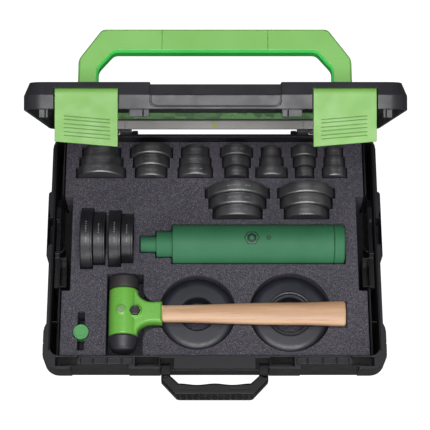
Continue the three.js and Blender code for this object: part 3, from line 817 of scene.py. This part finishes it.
def sleeves():
    """Three nested sleeves, their strike cap, and the generic marks printed on the large one."""
    for node in SLEEVE_ENDS:
        low, high = extent(node)
        radius = (high.z - low.z) / 2
        bore = inner_radius(node, 0)
        h = (high.x - low.x) / 2
        chamfer = 1.0 if node == "impact_sleeve_large" else 1.2
        profile = [(bore, 0.6 - h), (bore + 0.6, -h), (radius - chamfer, -h), (radius - 0.3, 0.35 - h),
                   (radius, chamfer - h), (radius, h - 0.9), (radius - 0.9, h), (bore, h)]
        body = place(lathe(profile, 128), "X", (low + high) / 2)
        piece(f"{node}_turned", body, ANODISED, "sleeves", [node])
    low, high = extent("impact_sleeve_large")
    middle = (low + high) / 2
    radius = (high.z - low.z) / 2
    strike_cap(radius, high.x + 0.3, middle)
    emblem_x, dot_x = 49, 71
    prints = []
    for x, outer, inner in (
        (emblem_x, polygon(6, 10.5), polygon(6, 9.1)),
        (emblem_x, polygon(6, 6.8, turn=0.52), polygon(6, 3.4, turn=0.52)),
        (dot_x, polygon(24, 2.9, 1), polygon(24, 1.6, 1)),
    ):
        prints.append(wrapped(outer, inner, radius, x, middle.y, middle.z))
    piece("sleeve_print", join(*prints), INK, "sleeves")


def strike_cap(radius, start, middle):
    """The struck end: a plug inside the large sleeve and a rounded flange that closes it."""
    low, high = extent("strike_cap")
    plug, corner = 17.3, 2.4
    profile = [(0, low.x), (plug, low.x), (plug, start), (radius - 0.9, start), (radius, start + 0.9)]
    profile += quarter(radius - corner, high.x - corner, corner, corner, 6) + [(0, high.x)]
    cap = place(lathe(profile, 128), "X", (0, middle.y, middle.z))
    piece("strike_cap_turned", cap, ANODISED, "sleeves", ["strike_cap"])


# ---------- mallet ----------
def mallet():
    """The clamped housing with its emblem and bolt; the faces and the handle have their own functions."""
    housing_high = extent("mallet_housing")[1]
    bolt_low, bolt_high = extent("mallet_clamp_bolt")
    bolt_x = (bolt_low.x + bolt_high.x) / 2
    x, y, z = MALLET_X, MALLET_Y, MALLET_Z
    half = housing_high.y - y
    waist, waist_end = FACE_RADIUS - 1.2, FACE_RADIUS - 3.2
    bulge = [(0, -half), (waist_end, -half), (waist, 1.6 - half), (FACE_RADIUS - 0.9, 0),
             (waist, half - 1.6), (waist_end, half), (0, half)]
    barrel = place(lathe(bulge, 72), "Y", (x, y, z))
    neck = neck_outline(x + 6, x + 18.2, half - 2, x + 37, 14, housing_high.x, 14.6)
    plate = levels(neck, [(z - 12, 2.5), (z - 9, 0.4), (z, 0), (z + 9, 0.4), (z + 12, 2.5)])
    boss = place(rod(8.6, 20, 48, 1.0), "Z", (bolt_x, y, z + 5.5))
    emblem_x = x - 2.5
    disc = place(rod(6.2, 30, 48, 0.6), "Z", (emblem_x, y, z + 4.9))
    stem, stem_depth = 8.3, 12
    cuts = [
        box(x + 23, housing_high.x + OVER, y - 9.3, y + 9.3, z - 7.3, z + 7.3),
        place(rod(3.3, 60, 24), "Z", (bolt_x, y, z)),
        rod_y(stem, x, y - half - OVER, y - half + stem_depth, z, 32),
        rod_y(stem, x, y + half - stem_depth, y + half + OVER, z, 32),
        place(rod(7.3, 8, 6), "Z", (bolt_x, y, z + 17)),
    ]
    housing = carve([barrel, plate, boss, disc], cuts)
    piece("mallet_head_housing", housing, PAINT, "mallet", ["mallet_housing"], cast=0.6)
    rim = [(0, 0), (4.6, 0), (4.6, 0.5), (4.1, 0.7), (3.7, 0.4), (2.4, 0.4), (1.9, 0.8), (0, 0.8)]
    emblem = place(lathe(rim, 48), "Z", (emblem_x, y, z + 19.6))
    piece("mallet_emblem", emblem, EDGE, "mallet")
    mallet_insert("mallet_face_rear", half, 1, FACE_RADIUS - 1.2, 0.6, RUBBER_REAR)
    mallet_insert("mallet_face_front", half, -1, FACE_RADIUS - 0.4, 3.0, RUBBER_FRONT)
    shank = place(rod(3, 28, 24), "Z", (bolt_x, y, z))
    head = place(rod(6.9, 5.5, 6, 0.8), "Z", (bolt_x, y, bolt_high.z - 2.75))
    bolt = carve([shank, head], [place(rod(4.1, 4, 6), "Z", (bolt_x, y, bolt_high.z))])
    piece("mallet_bolt", bolt, BOLT, "mallet", ["mallet_clamp_bolt"], bevel=0.25)
    mallet_handle()


def mallet_insert(node, half, sign, radius, taper, material):
    """A rubber face on a stem in the housing's end, tapered towards a crowned front."""
    near, far, stem = half + 0.3, HEAD_HALF, half - 11
    end = radius - taper
    edge = end - 0.8
    profile = [(0, stem), (8, stem), (8, near), (radius - 1.2, near), (radius - 0.3, near + 0.9),
               (radius, near + 2.4), (end, far - 6.5), (edge, far - 5)]
    crown, steps = 3.4, 8
    for i in range(1, steps + 1):
        rest = 1 - i / steps
        profile.append((edge * rest, far - crown * rest ** 2))
    insert = lathe(profile, 72)
    if sign < 0:
        bmesh.ops.scale(insert, vec=(1, 1, -1), verts=insert.verts)
        bmesh.ops.reverse_faces(insert, faces=insert.faces)
    place(insert, "Y", (MALLET_X, MALLET_Y, MALLET_Z))
    piece(f"{node}_insert", insert, material, "mallet", [node])


def mallet_handle():
    """An oval handle with flattened flanks that swells towards a crowned end."""
    start, end = -67.7, HANDLE_HIGH.x
    stations = [(start, 11), (start + 8, 11.2), (-40, 11.3), (-10, 12.2), (20, 13.2), (60, 14.4), (90, 14.7),
                (120, 14.9), (145, 15.8), (end - 6, 16.5), (end - 2.2, 16.4), (end - 0.6, 15.4), (end, 13)]
    steps, power, flatness = 40, 0.74, 0.62

    def bulged(value):
        return copysign(abs(value) ** power, value)

    sections = []
    for x, half in stations:
        section = []
        for i in range(steps):
            a = 2 * pi * i / steps
            y = MALLET_Y + half * bulged(cos(a))
            section.append((x, y, MALLET_Z + flatness * half * bulged(sin(a))))
        sections.append(section)
    tenon = box(MALLET_X + 24, start + 1, MALLET_Y - 9, MALLET_Y + 9, MALLET_Z - 7, MALLET_Z + 7)
    piece("mallet_shaft", join(loft(sections), tenon), WOOD, "mallet", ["mallet_handle"])


# ---------- small cap ----------
def small_cap():
    """A round cap with a raised rim and five studs."""
    low, high = extent("green_cap")
    r = (high.x - low.x) / 2
    x, y = (low.x + high.x) / 2, (low.y + high.y) / 2
    z = high.z
    profile = [(0, low.z), (r - 1, low.z), (r, low.z + 1), (r, z - 1.2), (r - 0.5, z - 0.3), (r - 1.2, z),
               (r - 2.2, z - 0.1), (r - 2.7, z - 1.1), (r - 4.4, z - 1.1), (r - 4.9, z - 0.5), (0, z - 0.4)]
    body = place(lathe(profile, 64), "Z", (x, y, 0))
    circle = 3.1
    studs = []
    for a in (0.4, 1.66, 2.91, 4.17, 5.43):
        at = (x + circle * cos(a), y + circle * sin(a), z - 0.5)
        studs.append(place(rod(0.75, 1.0, 18, 0.2), "Z", at))
    piece("round_cap", join(body, *studs), CAP_GREEN, "green_cap", ["green_cap"])


# ---------- side catches ----------
def side_catches():
    """A flank plate with a press pad outside, and an open box and a curved hook inside the tray."""
    y0, y1 = CATCH_BAY[0] + 3, CATCH_BAY[1] - 3
    outline = [(y0, 8), (y1, 8), (y1, 62), (y1 - 14, 69), (-4, 69), (-9, 66), (y0, 66)]
    arcs = ((6.6, range(0, 91, 15)), (5.0, range(90, -1, -15)))
    for name, side in NAMED_SIDES:
        flank = along_x(outline, side * 204.5, side * 210.5)
        frame_box = side_box(side, 194.5, 205, -50, -9, 44, 67.5)
        push = side_box(side, 210, 219, 47, 71, 40, 54)
        hook = []
        for radius, angles in arcs:
            for a in angles:
                turn = radians(a)
                hook.append((side * (204.8 - radius * sin(turn)), 5.5 - radius * cos(turn)))
        box_hollow = (196, 203.4, -48.5, -10.5, 50, 72)
        flank_notch = (206.4, 211, 0, 44, 63, 72)
        solid = carve([flank, frame_box, push, prism(hook[::side], 46, 66)],
                      side_boxes(side, box_hollow, flank_notch))
        node = f"side_catch_{name}"
        piece(f"{node}_lever", solid, GLOSS, node, [node], bevel=0.3)


# ---------- front handle ----------
def front_handle():
    """A bail with a ribbed, wavy bar, on pivots moulded on its legs."""
    pivot_y, pivot_z = FRONT + 5.5, 68
    half, leg, front, bar = 68.5, 11.5, extent("front_handle")[0].y, 18
    inner = half - leg
    leg_end = pivot_y - 12
    corner = half - 21
    thick, edge = 8.5, 1.8
    leg_pocket = (inner + 3, half - 3, front + 26, leg_end - 2)
    waves = [(x, front + bar + 0.9 * cos(x / 7.2)) for x in range(-46, 47, 2)]
    outline = [(-half, leg_end), (-half, front + 22), (-corner - 1.5, front + 1), (-corner + 2, front),
               (corner - 2, front), (corner + 1.5, front + 1), (half, front + 22), (half, leg_end),
               (inner, leg_end), (inner, front + bar + 11)]
    outline += reversed(waves)
    outline += [(-inner, front + bar + 11), (-inner, leg_end)]
    grip = levels(outline, [(pivot_z - thick, edge), (pivot_z - thick + edge, 0),
                            (pivot_z + thick - edge, 0), (pivot_z + thick, edge)])
    solids = [grip]
    cuts = []
    for side in SIDES:
        solids.append(side_box(side, inner, half, leg_end - 1, pivot_y, pivot_z - 4.5, pivot_z + 4.5))
        solids.append(rod_x(4.5, side * inner, side * half, pivot_y, pivot_z, 28))
        solids.append(rod_x(3, side * (half - 1), side * (half + 3.2), pivot_y, pivot_z, 20))
        cuts.append(side_box(side, 20, 44, front + 10.2, front + 11.4, pivot_z + 7, pivot_z + 10))
        for z in (7.3, -10):
            cuts.append(side_box(side, *leg_pocket, pivot_z + z, pivot_z + z + 2.7))
    slant = [(-1, -1), (6, 9.5), (-1, 9.5)]
    slot = [(-1, -6), (1.8, -6), (1.8, -0.5), (6.2, 5.4), (4.3, 7), (-1, 1.5)]

    def across(points, x0, x1):
        return along_x([(front + y, pivot_z + z) for y, z in points], x0, x1)

    cuts.append(across(slant, -half, half))
    slots, pitch, width = 12, 8, 4.6
    for i in range(slots):
        x = pitch * (i - slots / 2 + 0.5)
        cuts.append(across(slot, x - width / 2, x + width / 2))
    cuts.append(box(-40, 40, front + 4, front + 14, pivot_z - 10, pivot_z - 7.2))
    body = carve(solids, cuts)
    piece("front_grip", body, BLACK, "front_handle", ["front_handle"], bevel=0.5)


# ---------- lid ----------
def lid_hood():
    """The lid's outer form: upright walls and a steep chamfer all round its top."""
    wall = rounded_rectangle(HALF, FRONT, BACK, CORNER)
    return levels(wall, [(LID_RIM, 0), (LID_BEND, 0), (LID_TOP, 6.6)])


def grip_outline(grow):
    """The carry handle's outline when folded, in the lid's closed frame, grown by a gap."""
    half = GRIP["half"]
    outer, inner = half + grow, half - GRIP["leg"] - grow
    front = GRIP["y"] - GRIP["reach"]
    low, high = front - grow, front + GRIP["bar"] + grow
    back = GRIP["y"] + 13.5 + grow
    return [(-outer, back), (-outer, low), (outer, low), (outer, back), (inner, back), (inner, high + 23),
            (inner - 19, high), (19 - inner, high), (-inner, high + 23), (-inner, back)]


def lid():
    """A hollow hood with a recess for the carry handle, latch openings, hinge knuckles and ribs."""
    recess_floor = GRIP["z"] - 9.5
    wall, rib = 3.5, 0.9
    hollow = rounded_rectangle(HALF - wall, FRONT + wall, BACK - wall, 19)
    inside = levels(hollow, [(LID_RIM - OVER, 0), (LID_TOP - 17.5, 0), (LID_TOP - 3, 5.6)])
    solids = [
        carve([lid_hood()], [inside]),
        prism(grip_outline(3.7), recess_floor - 2.2, LID_TOP - 1),
    ]
    cuts = [prism(grip_outline(1.5), recess_floor, LID_TOP + OVER)]
    late = []
    for side in SIDES:
        for front, top in ((3, 9.6), (7.2, 3.5)):
            solids.append(side_box(side, 106.5, 187.5, FRONT + front, FRONT + 10.5, LID_RIM, LID_TOP - top))
        lid_front(side, cuts, late)
        lid_hinge(side, solids, cuts)
        cuts.append(rod_x(GRIP["bore"], side * 139.5, side * 179.5, GRIP["y"], GRIP["z"], 24))
        lid_top(side, cuts, late)
    lid_centre(solids, cuts, late)
    for x in range(-120, 121, 40):
        late.append(box(x - rib, x + rib, 12, 140, LID_TOP - 7, LID_TOP - 2.4))
    for y in (30, 75, 120):
        late.append(box(-195, 195, y - rib, y + rib, LID_TOP - 6, LID_TOP - 2.4))
    shell = carve([carve(solids, cuts)] + late, [])
    piece("lid_shell", shell, LID_SHELL, "lid", ["case_lid"], bevel=0.6, matrix=LID_OPEN)


def lid_centre(solids, cuts, late):
    """The sunk panel over the front handle, with a fine groove round it and a lower top edge."""
    half, bottom, bend = 75, LID_RIM + 2.6, LID_BEND
    solids.append(box(-80, 80, FRONT + 6.5, FRONT + 36, LID_TOP - 7, LID_TOP - 2.5))

    def upright(right, y0, y1):
        """A plate from its right half, given by x and z from the bottom up."""
        outline = right + [(-x, z) for x, z in reversed(right)]
        return loft([[(x, y, z) for x, z in outline] for y in (y0, y1)])

    sunk = [(half - 6, bottom), (half - 1.8, bottom + 1.8), (half, bottom + 6), (half, bend + 0.1)]
    cuts.append(upright(sunk, FRONT + 2.5, FRONT - OVER))
    raised = [(67.6, bottom + 1.4), (71.8, bottom + 3.2), (73.6, bottom + 7), (73.6, bend + 0.2)]
    late.append(upright(raised, FRONT + 1.6, FRONT + 3.2))
    chamfer = []
    for z, depth in ((bend, 1.6), (LID_TOP - 0.4, 8.1), (LID_TOP + OVER, 8.1)):
        corners = [(-half, FRONT - OVER), (half, FRONT - OVER), (half, FRONT + depth), (-half, FRONT + depth)]
        chamfer.append([(x, y, z) for x, y in corners])
    cuts.append(loft(chamfer))
    cuts.append(box(-half, half, FRONT - OVER, FRONT + 34, LID_TOP - 2.6, LID_TOP + OVER))


def lid_front(side, cuts, late):
    """The opening behind a latch, and two split tabs that drop into the tray's pockets."""
    top, back, slot = LID_RIM + 6, FRONT + 10.5, 0.9
    gap = 1
    x0, x1 = LATCH["inner"] - gap, LATCH["outer"] + gap
    cuts.append(side_box(side, x0, x1, FRONT - OVER, FRONT + 7, LID_RIM - OVER, LID_TOP - 7))
    for x0, x1, bottom in ((76, 99, 72), (191.5, 202, 71)):
        late.append(side_box(side, x0, x1, FRONT + 3, back, LID_RIM + 0.2, top))
        split = x0 + 0.28 * (x1 - x0)
        late.append(side_box(side, x0, split, FRONT + 6.5, FRONT + 9, bottom, top))
        late.append(side_box(side, split + slot, x1, FRONT + 6.5, FRONT + 9, bottom, top))
        late.append(side_box(side, x0, x1, FRONT + 8.8, back, bottom + 1, top))


def lid_hinge(side, solids, cuts):
    """The knuckle between the tray's two."""
    x0, x1 = KNUCKLE["lid"]
    radius = KNUCKLE["radius"]
    solids.append(side_box(side, x0, x1, BACK - 2, HINGE_Y, LID_RIM, LID_RIM + radius))
    solids.append(rod_x(radius, side * x0, side * x1, HINGE_Y, RIM, 32))
    cuts.append(rod_x(KNUCKLE["bore"], side * (x0 - 1.6), side * (x1 + 1.6), HINGE_Y, RIM, 24))


def lid_top(side, cuts, late):
    """Outer top: a stacking pad at each corner, and shallow panels with ribs between them."""
    above = LID_TOP + OVER
    for panel in ((24, 128, -70, -20), (8, 168, 14, 142)):
        cuts.append(side_box(side, *panel, LID_TOP - 1.1, above))
    for x in range(30, 143, 28):
        late.append(side_box(side, x - 1.5, x + 1.5, 20, 136, LID_TOP - 2, LID_TOP - 0.2))
    for y0, y1 in ((96, 136), (-136, -96)):
        cuts.append(side_box(side, 186, 206, y0, y1, LID_TOP - 1.6, above))
    for y in (-100, -20, 60, 120):
        cuts.append(side_box(side, HALF - 1, HALF + OVER, y - 16, y + 16, LID_RIM + 3, LID_BEND - 2))


def lid_fittings():
    """The rail, its index mark, the contents card, and a dark strip above the card that is painted shade
    inside the lid.
    """
    low, high = extent("lid_rail", LID_CLOSED)
    profile = [(low.y, low.z), (high.y, low.z), (high.y, high.z), (low.y + 1.2, high.z),
               (low.y, high.z - 1.6)]
    joints = [side_box(s, 119.4, 120.6, low.y - OVER, low.y + 0.8, low.z - OVER, high.z) for s in SIDES]
    rail = carve([along_x(profile, low.x, high.x)], joints)
    piece("card_rail", rail, RAIL, "lid", ["lid_rail"], bevel=0.5, matrix=LID_OPEN)
    mark = box(-2.6, 3.4, low.y - 0.15, low.y + 0.4, low.z + 1.2, high.z - 2.6)
    piece("rail_index", mark, OLIVE, "lid", bevel=0.1, matrix=LID_OPEN)
    low, high = extent("lid_label", LID_CLOSED)
    windows = []
    for x in range(-160, 161, 32):
        windows.append(box(x - 5, x + 5, low.y - OVER, low.y + 0.5, low.z + 1, high.z - 1))
    card = carve([box(low.x, high.x, low.y, high.y, low.z, high.z)], windows)
    piece("contents_card", card, CARD, "lid", ["lid_label"], bevel=0.2, matrix=LID_OPEN)
    # A black strip across the lid's inside: painted shade, standing where the inside lies in shade.
    ledge = box(-196, 196, BACK - 9, BACK - 4, LID_TOP - 9.4, LID_TOP - 3.4)
    piece("painted_shade_strip", ledge, BLACK, "lid", bevel=0.5, matrix=LID_OPEN)


# ---------- latches ----------
def latches():
    """A curved cover with a slanting lower edge, fine grooves above it and a lip behind."""
    inner, outer, slant = LATCH["inner"], LATCH["outer"], LATCH["slant"]
    bend, crest = 97.5, 104.4
    y0, y1 = FRONT + 1, FRONT + 6
    depth = 3.2
    arc = [(y1, bend + 4.6), (y1 - 0.6, crest - 0.7)]
    arc += quarter(y0 + depth, bend, -depth, crest - bend, 7)[::-1]
    for name, side in NAMED_SIDES:
        node = f"latch_{name}"
        bottom = extent(node, LID_CLOSED)[0].z
        plate = loft([[(side * x, y, z) for y, z in [(y0, foot), (y1, foot)] + arc]
                      for x, foot in ((inner, bottom), (outer, bottom + slant))])
        corners = ((y1 - 1, bottom), (y1 + 3, bottom), (y1 + 3, bottom + 2), (y1 - 1, bottom + 3.4))
        lip = loft([[(side * x, y, z + slant * (x - inner) / (outer - inner)) for y, z in corners]
                    for x in (inner + 4, inner + 30)])
        cuts = []
        for height in (68.2, 64.4, 59.4, 55.1, 50.3, 46.1):
            cuts.append(groove(side, height, inner + 9, outer - 11, y0))
        solid = carve([plate, lip], cuts)
        piece(f"{node}_cover", solid, GREEN, node, [node], bevel=0.6, matrix=LID_OPEN)


def groove(side, height, x0, x1, y):
    """A fine V groove in the latch's face, parallel to its slanting lower edge."""
    rise = LATCH["slant"] * (x1 - x0) / (LATCH["outer"] - LATCH["inner"])
    vee = ((-0.5, -0.7), (0.15, 0), (-0.5, 0.7))
    ends = ((side * x0, height), (side * x1, height + rise))
    return loft([[(x, y + dy, z + dz) for dy, dz in vee] for x, z in ends])


# ---------- carry handle ----------
def carry_handle():
    """A flat grip with cut corners on two bored legs, seams in its bar and fine ribs at its front."""
    half, leg, bar, reach = GRIP["half"], GRIP["leg"], GRIP["bar"], GRIP["reach"]
    inner = half - leg
    near = bar - reach
    outline = [(-half, 0), (-half, 41.3 - reach), (28.5 - half, -reach), (half - 28.5, -reach),
               (half, 41.3 - reach), (half, 0), (inner, 0), (inner, near + 23), (inner - 19, near),
               (19 - inner, near), (-inner, near + 23), (-inner, 0)]
    outline = soften(outline, (1, 2, 3, 4, 7, 8, 9, 10), 5)
    t = GRIP["thick"] / 2
    edge, edge_height = 2.6, 3.2
    grip = levels(outline, [(-t, edge), (edge_height - t, 0), (t - edge_height, 0), (t, edge)])
    solids, cuts = [grip], []
    for side in SIDES:
        solids.append(rod_x(t, side * inner, side * half, 0, 0, 40))
        cuts.append(rod_x(GRIP["bore"], side * (inner - OVER), side * (half + OVER), 0, 0, 24))
        for face in SIDES:
            z0, z1 = sorted((face * (t - 0.25), face * (t + OVER)))
            cuts.append(side_box(side, 65.7, 66.2, -reach - OVER, near - 1, z0, z1))
    for i in range(-7, 8):
        x = 17 * i
        solids.append(box(x - 1.6, x + 1.6, 1.2 - reach, 3 - reach, 2 - t, t - 2))
    body = carve(solids, cuts)
    body.normal_update()
    # Inner faces of the bar and legs take the second, more saturated green: painted light, for bounce light
    # on these shaded faces.
    for face in body.faces:
        middle = face.calc_center_median()
        inside = abs(middle.x) < inner + 2.8 and near - 2.8 < middle.y < -10
        if inside and abs(face.normal.z) < 0.9:
            face.material_index = 1
    pivot = Matrix.Translation((0, GRIP["y"], GRIP["z"]))
    turn = LID_OPEN @ pivot @ Matrix.Rotation(-radians(GRIP["swing"]), 4, "X")
    piece("carry_grip", body, [GREEN_GRIP_PAINTED_LIT, GREEN_INNER_PAINTED_LIGHT], "carry_handle", ["carry_handle"],
          bevel=0.5, matrix=turn)


def pins():
    """The CAD's own pins stay, with a brushed steel finish."""
    for node in ("hinge_pin_left", "hinge_pin_right", "carry_handle_pin_left", "carry_handle_pin_right"):
        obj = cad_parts[node]
        obj.data.materials.clear()
        obj.data.materials.append(STEEL)


# ---------- stage ----------
def floor():
    """A plain floor that the camera sees as white, and that throws little light back up."""
    bm = bmesh.new()
    bmesh.ops.create_grid(bm, x_segments=1, y_segments=1, size=6)
    obj = linked("floor", mesh_of("floor", bm))
    obj.location.z = -0.0005
    s = Surface("floor_white")
    s.colour(s.ramp(s.noise(3, 2), [(0.3, (0.14, 0.14, 0.14, 1)), (0.7, (0.16, 0.16, 0.16, 1))]))
    s.value(Roughness=0.9, Specular_IOR_Level=0.1, Emission_Color=WHITE)
    path = s.tree.nodes.new("ShaderNodeLightPath")
    s.link(path.outputs["Is Camera Ray"], s.shader.inputs["Emission Strength"])
    obj.data.materials.append(s.material)


def softbox(name, location, target, width, height, power):
    data = bpy.data.lights.new(name, "AREA")
    data.shape = "RECTANGLE"
    data.size = width
    data.size_y = height
    data.energy = power
    obj = linked(name, data)
    obj.location = location
    obj.rotation_euler = (Vector(target) - Vector(location)).to_track_quat("-Z", "Y").to_euler()


def stage():
    """Soft studio light, with a world that is white to the camera and dim as a light."""
    floor()
    softbox("key", (0.0, -0.8, 2.6), (0, 0, 0.1), 1.6, 1.0, 72)
    softbox("top", (0.0, 0.45, 2.4), (0, 0, 0.06), 1.0, 0.5, 4)
    softbox("front", (0.0, -2.4, 0.8), (0, 0.1, 0.3), 2.0, 0.7, 36)
    for name, side in NAMED_SIDES:
        softbox(f"fill_{name}", (side * 2.2, 0.2, 1.4), (0, 0, 0.1), 1.2, 1.2, 2.5)
    world = bpy.data.worlds.new("studio")
    world.use_nodes = True
    tree = world.node_tree
    background = tree.nodes["Background"]
    background.inputs["Color"].default_value = WHITE
    path = tree.nodes.new("ShaderNodeLightPath")
    strength = tree.nodes.new("ShaderNodeMapRange")
    strength.inputs["To Min"].default_value = 0.13
    strength.inputs["To Max"].default_value = 1.0
    tree.links.new(path.outputs["Is Camera Ray"], strength.inputs["Value"])
    tree.links.new(strength.outputs["Result"], background.inputs["Strength"])
    bpy.context.scene.world = world
    bpy.context.scene.view_settings.view_transform = "Standard"


def camera():
    data = bpy.data.cameras.new("camera")
    data.sensor_width = 36
    data.lens = 128.07
    data.shift_x = 0.0179
    obj = linked("camera", data)
    obj.location = (-0.0095, -0.6942, 1.9699)
    obj.rotation_euler = (radians(21.4), 0, 0)
    bpy.context.scene.camera = obj


camera()
stage()
tray()
foam()
rings()
sleeves()
mallet()
small_cap()
side_catches()
front_handle()
lid()
lid_fittings()
latches()
carry_handle()
pins()
